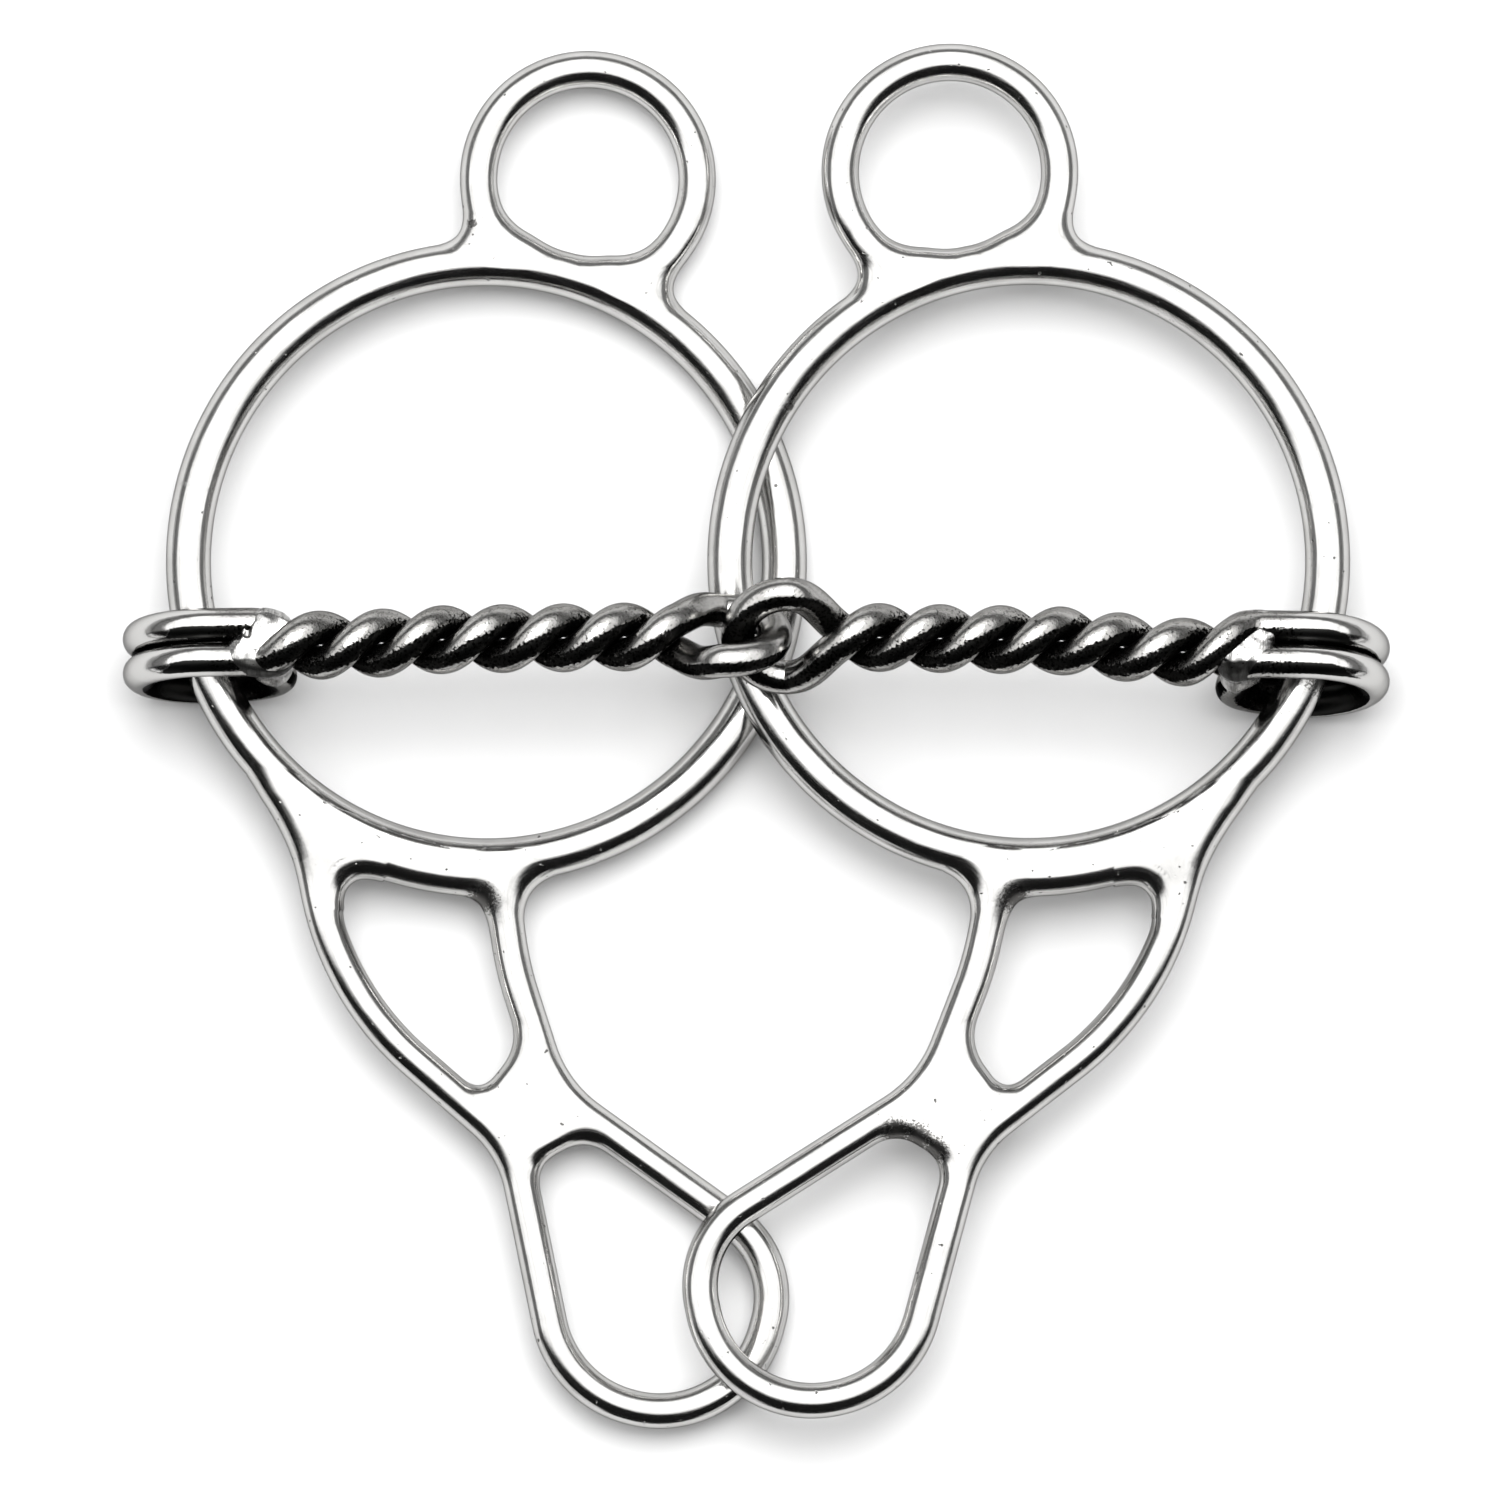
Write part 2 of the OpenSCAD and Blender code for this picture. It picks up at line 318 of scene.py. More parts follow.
def welded_on(plan, bar, fillet):
    """Section and field of a flat piece of round bar, filleted to the mouth ring. The
    section gives the distances to its middle lines without and with the fillet, and how
    thick it is."""

    def section(p):
        out = np.hypot(p[:, 0], p[:, 1]) - RING_R
        own = plan(p) + np.maximum(TAPER - out, 0) ** 2
        ring = np.abs(out)
        d, share = blend(own, ring, fillet)
        share = share * eased((ring - FLUSH[0]) / (FLUSH[1] - FLUSH[0]))
        return own, d, (RING_BAR - SUNK) * (1 - share) + bar * share

    def field(p):
        own, d, r = section(p[:, :2])
        skin = np.hypot(np.maximum(d, 0), p[:, 2]) - r
        return np.maximum(skin, own - REACH)

    return section, field


def slopes(field, p, h=0.01):
    """Gradient of a field, from steps of h either way"""
    return np.stack([(field(p + e) - field(p - e)) / (2 * h) for e in np.eye(3) * h], -1)


def skinned(field, low, high, cell):
    """Points, quads and normals of the surface where a field is nought"""
    low = np.array(low, float)
    size = np.ceil((np.array(high) - low) / cell).astype(int) + 1
    grid = np.stack(np.meshgrid(*[np.arange(n) for n in size], indexing="ij"), -1)
    f = field(low + grid.reshape(-1, 3) * cell).reshape(size)
    inside = f < 0
    if inside[[0, -1]].any() or inside[:, [0, -1]].any() or inside[:, :, [0, -1]].any():
        raise ValueError("the piece reaches out of its grid")
    corners = [np.array((i, j, k)) for i in (0, 1) for j in (0, 1) for k in (0, 1)]
    filled = sum(
        inside[tuple(slice(k, n - 1 + k) for k, n in zip(c, size))].astype(int) for c in corners
    )
    active = (filled > 0) & (filled < 8)
    index = np.full(active.shape, -1)
    index[active] = np.arange(active.sum())
    cells = np.argwhere(active)
    total, hits = np.zeros((len(cells), 3)), np.zeros(len(cells))
    for a in corners:
        for b in corners:
            if (b - a).min() < 0 or (b - a).sum() != 1:
                continue
            fa, fb = f[tuple((cells + a).T)], f[tuple((cells + b).T)]
            cross = (fa < 0) != (fb < 0)
            t = np.where(cross, fa / np.where(cross, fa - fb, 1), 0)
            total += np.where(cross[:, None], a + t[:, None] * (b - a), 0)
            hits += cross
    points = low + (cells + total / hits[:, None]) * cell
    faces = []
    for d in range(3):
        e, u, w = np.eye(3, dtype=int)[[d, (d + 1) % 3, (d + 2) % 3]]
        far = tuple(slice(e[i], None) for i in range(3))
        near = tuple(slice(None, size[i] - e[i]) for i in range(3))
        g = np.argwhere(inside[near] != inside[far])
        out = inside[tuple(g.T)]
        quads = np.stack([index[tuple((g - s).T)] for s in (0 * u, u, u + w, w)], -1)
        faces += quads[out].tolist() + quads[~out][:, ::-1].tolist()
    for _ in range(4):
        g = slopes(field, points)
        step = field(points) / np.maximum((g * g).sum(1), 0.2)
        points -= np.clip(step, -cell / 2, cell / 2)[:, None] * g
    return points, faces, slopes(field, points)


def bridle_plan(p):
    """The horseshoe, with a round end at each foot"""
    turn = math.radians(BRIDLE_FOOT)
    d = to_arc(p, (0, BRIDLE_Y), BRIDLE_R, math.pi / 2, math.pi - turn)
    for x in (-1, 1):
        foot = x * BRIDLE_R * math.sin(turn), BRIDLE_Y - BRIDLE_R * math.cos(turn)
        d = np.minimum(d, to_segment(p, foot, foot))
    return d


bridle_steel = polished_steel("polished bridle ring steel")
BRIDLE_GRIT = {"left": [(12.0, 38.0, 0.8)], "right": []}
section, field = welded_on(bridle_plan, BRIDLE_BAR, fillet=4.4)
points, faces, normals = skinned(field, (-22, 26, -3.2), (22, 63, 3.2), CELL)
across = section(points[:, :2])[1]
along = np.arctan2(points[:, 0], points[:, 1] - BRIDLE_Y) * BRIDLE_R / GRAIN
for side in LEAN:
    bridle = make_piece(
        side + "_bridle_bar", points, faces, cheek_frame(side), bridle_steel, normals,
        grain=np.stack([across, points[:, 2], along], -1),
        grit=spotted(points, BRIDLE_GRIT[side]),
    )
    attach(bridle, side + "_cheek")
    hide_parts(side + "_bridle_ring")


# ------------------------------------------------------------------ Rein shanks
# The reins buckle to the loop at the foot of each shank. It is one round rod: down as
# the outer rail, round the rein loop, and back up as the inner rail. A yoke plate ties
# the rails above the loop, and the ends are welded to the ring with a gusset of metal.

SHANK_BAR = 2.1
# Corners of the rod: x, y and the radius of its bend
SHANK_BENDS = [
    (14.5, -32, 0), (3.9, -53.6, 35), (-20.6, -65.7, 14), (-33.6, -91.9, 13),
    (-55, -91.9, 13), (-55, -70.4, 11), (-23.5, -58.4, 16), (-15.3, -45.6, 40),
    (-10.3, -34.2, 0),
]
YOKE = [(-16.2, -63.6), (-20.6, -53.9), (-28.2, -60.1), (-20.9, -67.1)]
GUSSET = [(5.6, -36.2), (8.3, -38.2), (9.4, -41.0), (9.3, -43.0), (12.6, -36.0), (13.6, -33.0)]
# Weld metal along the ring between the rails, and round the gusset's free edge: centre,
# radius, and the middle and half of its turn in degrees
LIP = (0, 0), 36.0, -93, 18
GUSSET_EDGE = (1.6, -43.2), 7.5, 35, 45


def bent(corners):
    """Straights and bends of a rod, from its corners"""
    straights, bends = [], []
    at = np.array(corners[0][:2], float)
    for before, here, after in zip(corners, corners[1:], corners[2:]):
        p = np.array(here[:2], float)
        a = p - np.array(before[:2])
        b = np.array(after[:2]) - p
        a, b = a / np.linalg.norm(a), b / np.linalg.norm(b)
        turn = math.atan2(a[0] * b[1] - a[1] * b[0], a @ b)
        reach = here[2] * math.tan(abs(turn) / 2)
        side = math.copysign(1, turn)
        centre = p - reach * a + side * here[2] * np.array((-a[1], a[0]))
        straights.append((at, p - reach * a))
        at = p + reach * b
        middle = p - centre
        bends.append((centre, here[2], math.atan2(middle[1], middle[0]), abs(turn) / 2))
    straights.append((at, np.array(corners[-1][:2], float)))
    return straights, bends


STRAIGHTS, BENDS = bent(SHANK_BENDS)
RAILS = [tuple(STRAIGHTS[0][0])]  # the rod's middle line, as one outline
for (_, end), (centre, r, middle, half) in zip(STRAIGHTS, BENDS):
    start = math.atan2(end[1] - centre[1], end[0] - centre[0])
    sweep = half if (start - middle + math.pi) % (2 * math.pi) < math.pi else -half
    for angle in np.linspace(middle - sweep, middle + sweep, 13):
        RAILS.append((centre[0] + r * math.cos(angle), centre[1] + r * math.sin(angle)))
RAILS.append(tuple(STRAIGHTS[-1][1]))


def within(p, corners):
    """Whether each point lies inside an outline"""
    inside = np.zeros(len(p), bool)
    for a, b in zip(corners, corners[1:] + corners[:1]):
        spans = (a[1] > p[:, 1]) != (b[1] > p[:, 1])
        x = a[0] + (p[:, 1] - a[1]) * (b[0] - a[0]) / (b[1] - a[1] or 1)
        inside ^= spans & (p[:, 0] < x)
    return inside


def to_plate(p, corners):
    """Distance to a flat plate, less than nought inside it"""
    d = np.min([to_segment(p, a, b) for a, b in zip(corners, corners[1:] + corners[:1])], axis=0)
    return np.where(within(p, corners), -d, d)


def shank_plan(p):
    """The rod, with the yoke, gusset and lip filleted to it only between the rails"""
    rod = np.min([to_segment(p, a, b) for a, b in STRAIGHTS], axis=0)
    rod = np.minimum(rod, np.min([to_arc(p, *bend) for bend in BENDS], axis=0))
    d = blend(rod, to_plate(p, YOKE), 2.8)[0]
    lip, edge = [
        to_arc(p, centre, r, math.radians(middle), math.radians(half))
        for centre, r, middle, half in (LIP, GUSSET_EDGE)
    ]
    d = blend(d, np.minimum(to_plate(p, GUSSET), edge), 3.0)[0]
    d = blend(d, lip, 2.0)[0]
    return np.where(within(p, RAILS), d, rod)


shank_steel = polished_steel("polished shank steel")
SHANK_GRIT = {
    "left": [(-9.5, -38.5, 2.6), (-26.5, -66.0, 1.5)],
    "right": [(-28.6, -62.6, 2.4), (-26.3, -63.8, 2.6), (-24.6, -65.6, 2.2), (-9.5, -38.5, 2.6)],
}
section, field = welded_on(shank_plan, SHANK_BAR, fillet=5.0)
points, faces, normals = skinned(field, (-59, -96, -3.2), (25, -21, 3.2), CELL)
across = section(points[:, :2])[1]
for side in LEAN:
    shank = make_piece(
        side + "_shank_rod", points, faces, cheek_frame(side), shank_steel, normals,
        grain=np.stack([across, points[:, 2], points[:, 1] / GRAIN], -1),
        grit=spotted(points, SHANK_GRIT[side]),
    )
    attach(shank, side + "_cheek")
    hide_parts(side + "_rein_shank")


# ---------------------------------------------------------------------- Cannons
# Each half of the mouthpiece is one steel wire, folded in half at the link. Its two
# strands are twisted tightly together, and both ends are bent side by side round the
# mouth ring as a double hoop. Soot and old polish sit in the grooves of the twist.

CANNON = 64.25  # from the middle of the link to the middle of the end eye
WIRE = 2.0  # half the wire's thickness
SIDES = 40  # of the wire's section
STRAND_R = 2.05  # from the cannon's middle line to the middle of each strand
LINK_R = 5.7
EYE_R = 8.25
EYE_TURN = 290  # degrees that each strand runs round the ring
LINK_TURN = 42  # degrees that the link's loop is turned round the cannon's middle line
LINK_PLAY = 0.175  # half the gap left between the two hooked loops
LINK_X = LINK_R - WIRE - LINK_PLAY  # where the loop ends and the strands begin
TWIST_END = CANNON - 5.1
EASE_IN, EASE_OUT, NECK = 5.0, 3.0, 6.0  # lengths in which the twist and the link's width ease
TWIST = 180 * 7 + 90 - LINK_TURN  # degrees in all
TWIST_RATE = TWIST / (TWIST_END - LINK_X - (EASE_IN + EASE_OUT) / 2)
LINK_AT = np.array((0, 11.88, 18.8))
LIE = {"left": (-1, 11, 0.82), "right": (1, 16, 1.1)}  # side, roll, and drop of the far end


def twist(x):
    """Degrees of twist so far, which start and end gently"""
    u, v = x - LINK_X, TWIST_END - x
    return np.select(
        [u <= 0, u < EASE_IN, v <= 0, v < EASE_OUT],
        [0, TWIST_RATE * u * u / (2 * EASE_IN), TWIST, TWIST - TWIST_RATE * v * v / (2 * EASE_OUT)],
        TWIST_RATE * (u - EASE_IN / 2),
    )


def strand(side):
    """One strand from the link to the end of its hoop"""
    x = np.linspace(LINK_X, TWIST_END, 330)[1:]
    u = np.minimum(1, (x - LINK_X) / NECK)
    spread = STRAND_R + (LINK_R - STRAND_R) * (1 + np.cos(math.pi * u)) / 2
    a = np.radians(twist(x) + LINK_TURN - 180)
    twisted = np.stack([x, side * spread * np.sin(a), side * spread * np.cos(a)], -1)
    a = np.radians(np.linspace(0, EYE_TURN, 150))
    hoop = np.stack(
        [CANNON + EYE_R * np.sin(a), 0 * a + side * STRAND_R, EYE_R * (np.cos(a) - 1)], -1
    )
    run = np.linspace(0, 1, 16)[1:-1, None]
    return np.concatenate([twisted, twisted[-1] * (1 - run) + hoop[0] * run, hoop])


def link_fold():
    """The half turn of the wire that the other cannon hooks through"""
    a = np.radians(np.linspace(0, 180, 61))
    y = LINK_R * np.cos(a)
    tip = math.radians(LINK_TURN - 180)
    return np.stack([LINK_X - LINK_R * np.sin(a), y * math.sin(tip), y * math.cos(tip)], -1)


def turned(axis, degrees):
    """Turn about one of the axes"""
    c, s = math.cos(math.radians(degrees)), math.sin(math.radians(degrees))
    i, j = [(1, 2), (2, 0), (0, 1)][axis]
    m = np.eye(3)
    m[i, i], m[i, j], m[j, i], m[j, j] = c, -s, s, c
    return m


def cannon_frame(side):
    """From a cannon's own millimetres, x outwards from the link, to the bit's metres"""
    sign, roll, drop = LIE[side]
    lean = math.radians(roll)
    eye_z = 2 * EYE_R * math.cos(lean) + WIRE + STRAND_R * math.sin(lean)
    run = np.array((sign * CANNON, -drop, eye_z - LINK_AT[2]))
    rise = math.degrees(math.asin(run[2] / np.linalg.norm(run)))
    place = np.eye(4)
    place[:3, :3] = (
        turned(2, math.degrees(math.atan2(run[1], run[0])))
        @ turned(1, -rise)
        @ turned(0, -sign * roll)
    ) * MM
    place[:3, 3] = LINK_AT * MM
    return place


BOW = {"left": 0.5, "right": 1.1}  # how far use has bent each cannon towards the rein loops
BOW_FROM, BOW_MOST, BOW_TO = 34, 50, 60  # where along the cannon


def bowed(points, side, way=1):
    """Points moved by the bend of a used cannon, or moved back when way is -1"""
    x = points[:, 0]
    rise = eased((x - BOW_FROM) / (BOW_MOST - BOW_FROM))
    fall = eased((BOW_TO - x) / (BOW_TO - BOW_MOST))
    bend = way * BOW[side] * rise * fall
    return points - bend[:, None] * cannon_frame(side)[1, :3] / MM


PLAIN_WIRE = (0.40, 0.395, 0.385, 1)
CLOUDED_WIRE = (0.30, 0.295, 0.285, 1)
RUBBED_WIRE = (0.56, 0.555, 0.545, 1)
# Near black, for soot in the grooves and for painted shade
SOOT_AND_SHADE_BLACK = (0.0012, 0.0012, 0.001, 1)


def worn_wire(name):
    """Plain steel wire, darkened by soot in the grooves, worn bright on its crests, and dotted
    all over with fine pits. Its dark mark also carries painted shade: the side turned to the
    open, dark near side of the tent is painted near black."""
    f = Finish(bpy.data.materials.new(name))
    at = f.node("TexCoord", out="Object")
    soot = f.mark("soot")
    shine = f.mark("shine")
    lines = f.noise(f.mark("grain", "Vector"), 4.0, 3, 0.6)
    cloud = f.noise(at, 300.0, 3, 0.6)
    specks = f.noise(at, 2900.0, 3, 0.7)
    ragged = (cloud - 0.5) * 0.5 + (specks - 0.5) * (2.2 - shine * 1.8)
    dirt_and_shade = f.between(soot + ragged, 0.45, 0.62)
    dots = f.between(specks, 0.55, 0.63) * (1 - shine)
    bare = f.mix(f.between(cloud, 0.3, 0.7), PLAIN_WIRE, CLOUDED_WIRE)
    bare = f.mix(shine, bare, RUBBED_WIRE)
    # Soot, and painted shade on the side towards the tent's open near side, turn the colour near
    # black
    colour = f.mix(dirt_and_shade * 0.97 + dots * 0.45, bare, SOOT_AND_SHADE_BLACK)
    rough = 0.13 + cloud * 0.08 + dirt_and_shade * 0.20 - shine * 0.05 + f.between(lines, 0.5, 0.8) * 0.05
    normal = f.bump(f.noise(at, 380.0, 1, 0.4) * (0.3 + shine), 0.060 * MM)
    normal = f.bump(lines, 0.005 * MM, normal)
    normal = f.bump(specks * (1 - shine * 0.7), 0.030 * MM, normal)
    shader = f.node(
        "BsdfPrincipled",
        None,
        {
            "Base Color": colour, "Metallic": 1.0, "Roughness": rough,
            "Normal": normal, "Specular Tint": (0.3, 0.3, 0.3, 1),
        },
    )
    f.node("OutputMaterial", None, {"Surface": shader})
    return f.owner


wire_steel = worn_wire("worn mouthpiece wire")
first, second = strand(1), strand(-1)
wire_line = np.concatenate([first[::-1], link_fold(), second])
points, faces, grain = drawn_bar(wire_line, WIRE, SIDES)


def nearest(p, line):
    """Distance from each point to a line of close points"""
    return np.concatenate(
        [
            np.linalg.norm(part[:, None] - line[None], axis=2).min(1)
            for part in np.array_split(p, max(1, len(p) // 2000))
        ]
    )


# Where the wire shines and where it is dark: the loop of the link and the outside of the
# hoops rub bright, soot stays in the grooves, the inside of the eye is darkened, and the
# side turned to the open, dark near side of the tent is painted dark as shade, except at
# the outer ends of the hoops.
along = points[:, 0]
facing = (points - np.repeat(wire_line, SIDES, axis=0)) / WIRE
of_first = np.repeat(np.arange(len(wire_line)) < len(first), SIDES)
other = np.where(of_first, nearest(points, second[::2]), nearest(points, first[::2]))
link = np.clip((9.0 - along) / 3.0, 0, 1)
shine = np.maximum(np.clip((along - CANNON + 3.0) / 3.0, 0, 1), 0.25 * link)
groove = np.clip(1 - (other - WIRE) / (2.6 - 1.5 * shine), 0, 1) * eased((along - 7.0) / 3.5)
inwards = -(facing[:, 0] * (along - CANNON) + facing[:, 2] * (points[:, 2] + EYE_R)) / EYE_R
in_eye = np.clip(inwards / 0.25, 0, 1) * (along > CANNON - EYE_R)
open_end = np.clip((facing[:, 0] - 0.25) / 0.35, 0, 1) * (along > CANNON)
for side in LIE:
    place = cannon_frame(side)
    # Painted shade: where the surface faces the bit's near side, towards the open, dark side of the
    # tent, it is painted near black
    up_bit = facing @ place[1, :3] / MM
    start = 0.10 - 0.10 * link
    painted_near_side_shade = np.clip((start - up_bit) / 0.25, 0, 1) * np.clip((up_bit + 0.80) / 0.15, 0, 1)
    # The dark mark: soot in the grooves, the darkened inside of the eye, a light soot all over, and
    # the painted shade
    soot = np.max([groove, painted_near_side_shade * (1 - open_end), in_eye, 0.16 * (1 - shine)], axis=0)
    wire = make_piece(
        side + "_cannon_wire", bowed(points, side), faces, place, wire_steel,
        grain=grain, soot=soot, shine=shine,
    )
    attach(wire, side + "_cannon")
    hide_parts(side + "_cannon")


# ------------------------------------------------------------------- Eye welds
# Weld metal closes each double hoop: it fills the groove between the strands, joins
# the hoop ends underneath, and was ground back by hand with a coarse wheel.

STRAND_AT_WELD = slice(265, 390, 2), slice(-48, None, 2)  # the points of a strand near it
WELD_R = 4.4  # how far the weld metal spreads
WELD_CELL = 0.24
# The weld's outer edge as (x on the middle line, how far it slants), blobs left by the
# welder and slots at its edge as (from, to, radius), and the flats of the grinding wheel
# as (direction, x, height there). Millimetres, x out from the link and y up the bit.
WELDS = {
    "left": (
        (60.9, -0.62),
        [((60.6, -0.9, 1.1), (59.6, -1.2, 1.2), 1.15), ((57.2, 0.2, 1.3), (56.0, 0.4, 1.2), 1.1)],
        [((59.7, 3.8, 1.2), (59.2, 2.4, 2.1), 0.34), ((59.2, 2.4, 2.1), (59.6, 0.5, 2.1), 0.42)],
        [((0.10, 0.30, 0.95), 57.5, 2.74), ((-0.10, -0.12, 0.99), 57.0, 2.20)],
    ),
    "right": (
        (60.0, 0.68),
        [((59.4, 1.5, 0.9), (56.4, 1.2, 0.9), 1.4), ((55.6, -0.3, 0.9), (55.0, 0.2, 0.9), 1.2)],
        [((55.6, 1.3, 2.2), (56.1, 0.0, 2.2), 0.16), ((61.6, 3.0, 1.9), (62.1, 4.2, 0.8), 0.16)],
        [((-0.10, 0.40, 0.91), 57.5, 2.92), ((0.16, 0.10, 0.98), 57.5, 2.14)],
    ),
}


def to_block(p, low, high):
    """Distance to a block between two corners"""
    return np.linalg.norm(p - np.clip(p, low, high), axis=1)


def weld_field(side):
    """Field of the weld metal with the two strands that it holds together"""
    (edge, slant), blobs, slots, flats = WELDS[side]
    strands = [
        np.concatenate([line[part] for part in STRAND_AT_WELD]) for line in (first, second)
    ]

    def field(p):
        p = bowed(p, side, -1)
        q = p * (1, LIE[side][0], 1)
        # The metal lies in the groove on top and down between the hoop ends. It is full
        # near this spine and fades out at its edges.
        spine = np.minimum(
            to_segment(q, (56.4, 0, 0.2), (58.4, 0, 0.2)),
            to_segment(q, (57.2, 0, -1.0), (57.6, 0, -5.2)),
        ) / WELD_R
        zone = np.clip((1.12 - spine) / 0.32, 0, 1)
        zone = zone * np.clip((edge + slant * q[:, 1] - q[:, 0]) / 0.9, 0, 1)
        zone = eased(zone * np.clip((q[:, 0] - 53.0) / 2.5, 0, 1))
        # Away from the metal the piece stays a quarter of a millimetre inside the wires
        wires = blend(nearest(p, strands[0]), nearest(p, strands[1]), 0.2 + 3.0 * zone)[0]
        d = wires - WIRE + 0.25 - 0.50 * zone
        bed = to_block(q, (56.6, -1.3, -0.1), (58.4, 1.3, 0)) - 2.0
        foot = to_block(q, (56.9, -1.7, -4.7), (57.6, 1.7, -0.6)) - 2.0
        d = blend(d, blend(bed, foot, 1.0)[0], 1.0)[0]
        for a, b, r in blobs:
            d = blend(d, to_segment(q, a, b) - r, 0.7)[0]
        for a, b, r in slots:
            d = -blend(-d, to_segment(q, a, b) - r, 0.15)[0]
        for towards, x, height in flats:
            d = -blend(-d, height + towards[0] * x - q @ np.array(towards), 0.5)[0]
        # Grinding by hand leaves it a little uneven
        ripple = np.sin(p[:, 0] * 2.9 + np.sin(p[:, 1] * 2.1)) * np.sin(p[:, 1] * 2.3 + p[:, 2])
        d = d + 0.035 * ripple * zone
        return np.maximum(d, (spine - 1.22) * WELD_R)

    return field


GROUND_METAL = (0.54, 0.535, 0.525, 1)
SCORED_METAL = (0.15, 0.148, 0.145, 1)
# Near black, for burnt metal and for painted shade
BURNT_AND_SHADED_METAL = (0.004, 0.004, 0.003, 1)


def ground_weld(name):
    """Weld metal ground with a coarse wheel: bright, scored all one way, and pitted. It is dark
    where burnt, and painted dark as shade on the strand towards the tent's open, dark near side.
    """
    f = Finish(bpy.data.materials.new(name))
    at = f.node("TexCoord", out="Object")
    scores = f.noise(f.mark("grain", "Vector"), 2.6, 4, 0.75)
    cloud = f.noise(at, 500.0, 3, 0.6)
    pits = f.between(f.noise(at, 1500.0, 2, 0.6), 0.66, 0.72)
    # Burnt metal, and painted shade on the strand towards the near side, go near black
    burnt = f.between(f.mark("burnt") + (cloud - 0.5) * 0.8, 0.35, 0.65)
    worn = f.between(scores, 0.42, 0.62) * 0.55 + f.between(cloud, 0.45, 0.65) * 0.45
    colour = f.mix(worn, GROUND_METAL, SCORED_METAL)
    colour = f.mix(burnt * 0.9 + pits * 0.5, colour, BURNT_AND_SHADED_METAL)
    rough = 0.18 + f.between(scores, 0.4, 0.7) * 0.16 + burnt * 0.2
    normal = f.bump(f.noise(at, 600.0, 2, 0.5), 0.09 * MM)
    normal = f.bump(scores, 0.075 * MM, normal)
    normal = f.bump(1 - pits, 0.04 * MM, normal)
    shader = f.node(
        "BsdfPrincipled",
        None,
        {
            "Base Color": colour, "Metallic": 1.0, "Roughness": rough, "Normal": normal,
            "Specular Tint": (0.6, 0.6, 0.6, 1),
        },
    )
    f.node("OutputMaterial", None, {"Surface": shader})
    return f.owner


weld_steel = ground_weld("ground weld metal")
for side in LIE:
    field = weld_field(side)
    points, faces, normals = skinned(field, (49.8, -5.8, -11.2), (66.2, 5.8, 3.6), WELD_CELL)
    lie = bowed(points, side, -1) * (1, LIE[side][0], 1)
    # Burnt at the weld's inner end and round its slots. The strand on the near side, facing the
    # open, dark side of the tent, is painted dark as shade. There is less of it underneath.
    burnt = np.clip((54.8 - lie[:, 0]) / 2.0, 0, 1) + np.clip((-1.9 - lie[:, 1]) / 1.0, 0, 1)
    for a, b, r in WELDS[side][2]:
        burnt = np.maximum(burnt, np.clip(1.6 - to_segment(lie, a, b) / r, 0, 1))
    burnt = np.minimum(burnt, 1) * np.clip((lie[:, 2] + 1.6) / 1.0, 0.2, 1)
    weld = make_piece(
        side + "_eye_weld", points, faces, cannon_frame(side), weld_steel, normals,
        grain=points * (1, 0.12, 0.12), burnt=burnt,
    )
    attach(weld, side + "_cannon")


# --------------------------------------------------------------- Table and light
# The bit lies on a plain pale table in a soft white light tent. The tent is open, and so
# dark, on the near side, and a soft lamp over its far end gives the shadows.

TABLE_HALF = 4  # from its middle to each edge
TABLE_GREY = (0.62, 0.62, 0.62, 1)
corners = [(x * TABLE_HALF, y * TABLE_HALF, 0) for x, y in ((-1, -1), (1, -1), (1, 1), (-1, 1))]
table_top = bpy.data.meshes.new("table")
table_top.from_pydata(corners, [], [(0, 1, 2, 3)])
table = bpy.data.objects.new("table", table_top)
bpy.context.scene.collection.objects.link(table)
f = Finish(bpy.data.materials.new("pale table"))
matt = f.node("BsdfPrincipled", None, {"Base Color": TABLE_GREY, "Roughness": 0.9})
f.node("OutputMaterial", None, {"Surface": matt})
table_top.materials.append(f.owner)

world = bpy.data.worlds.new("studio")
bpy.context.scene.world = world
f = Finish(world)
toward = f.node("TexCoord", out="Generated")
east = f.node("SeparateXYZ", None, {0: toward}, out=0)
north = f.node("SeparateXYZ", None, {0: toward}, out=1)
up = f.node("SeparateXYZ", None, {0: toward}, out=2)
sides = f.node("Math", {"operation": "ABSOLUTE"}, {0: east})
tent = f.between(north, -0.38, -0.22)
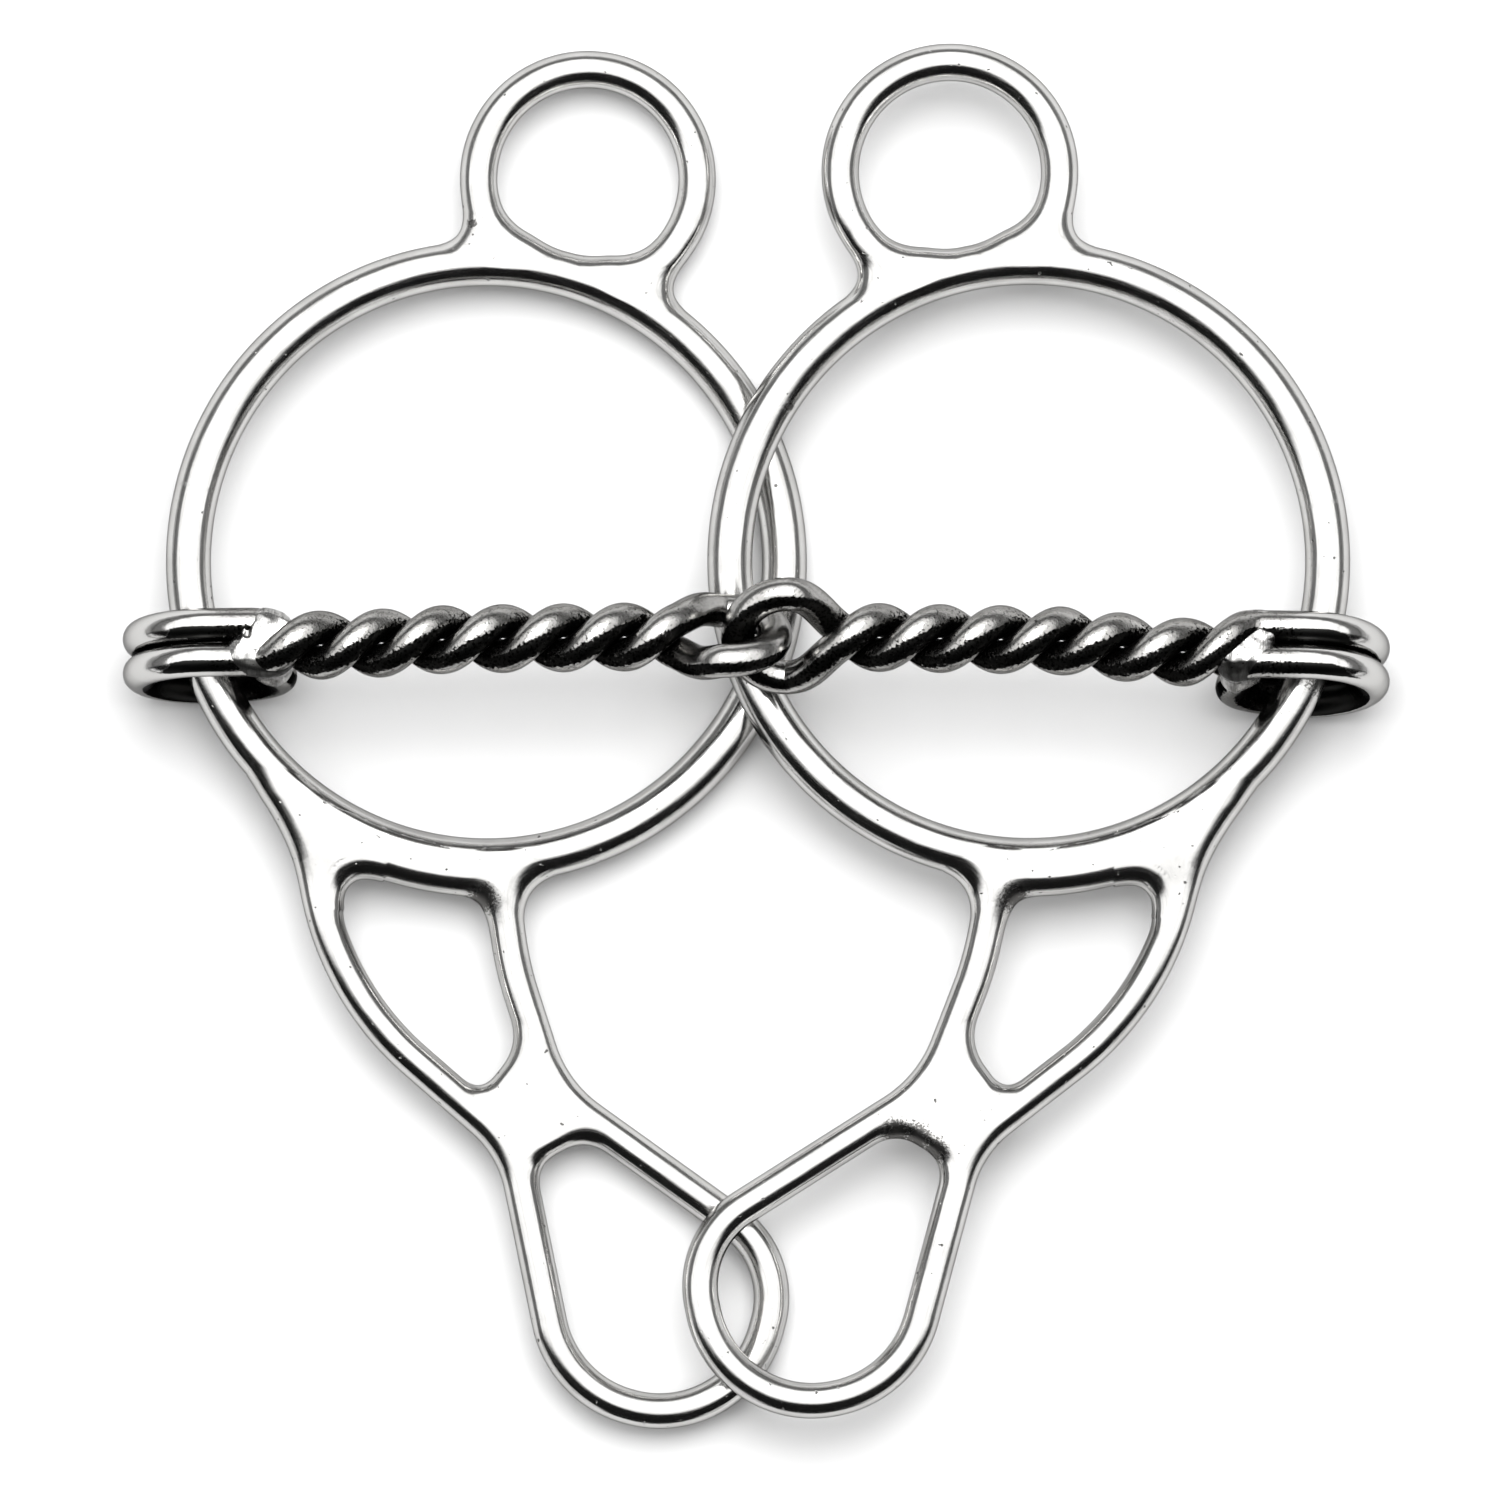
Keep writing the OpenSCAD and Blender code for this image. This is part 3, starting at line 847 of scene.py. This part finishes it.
# A strip of light low at both sides of the opening, the darker room below the tent's
# edge, its dark hem, and a pole and a cord that hold it up
strip = f.between(up, 0.03, 0.06) * (1 - f.between(up, 0.12, 0.16))
strip = strip * f.between(sides, 0.30, 0.45) * (1 - f.between(north, -0.45, -0.35))
room = 1 - f.between(up, 0.20, 0.25)
hem = f.between(up, 0.13, 0.19) * (1 - f.between(up - sides * 0.10, 0.40, 0.46))
pole = f.between(sides, 0.715, 0.722) * (1 - f.between(sides, 0.738, 0.745))
cord = f.between(sides, 0.36, 0.37) * (1 - f.between(sides, 0.39, 0.40))
light = tent * 2.0 * (1 - room * 0.76) * (1 - hem * 0.88) * (1 - pole * 0.5 - cord * 0.45)
light = light + strip * 1.3 + 0.010
seen = f.node("LightPath", out="Is Camera Ray")
light = light * (1 - seen) + seen
back = f.node("Background", None, {"Color": (1, 1, 1, 1), "Strength": light})
f.node("OutputWorld", None, {"Surface": back})

KEY_AT = (0, 0.46, 1.1)
key = bpy.data.lights.new("soft key", "AREA")
key.shape, key.size, key.size_y, key.energy = "RECTANGLE", 0.9, 0.75, 17
soft_key = bpy.data.objects.new("soft key", key)
bpy.context.scene.collection.objects.link(soft_key)
soft_key.location = KEY_AT
soft_key.rotation_euler = (-math.atan2(KEY_AT[1], KEY_AT[2]), 0, 0)


# ----------------------------------------------------------------------- Camera
# The camera looks straight down on the bit as it lies flat, bridle rings away from the
# viewer and rein loops towards them.

VIEW_AT = (-0.76 * MM, -1.53 * MM)  # the middle of the view
CAMERA_Z = 2.0
SEEN_WIDTH = 0.1764  # at the height of the bit
BIT_Z = 8 * MM
SENSOR = 36
lens = bpy.data.cameras.new("camera")
camera = bpy.data.objects.new("camera", lens)
bpy.context.scene.collection.objects.link(camera)
camera.location = (*VIEW_AT, CAMERA_Z)
lens.sensor_width = SENSOR
lens.lens = SENSOR * (CAMERA_Z - BIT_Z) / SEEN_WIDTH
lens.clip_end = 20
bpy.context.scene.camera = camera
bpy.context.scene.view_settings.view_transform = "Standard"
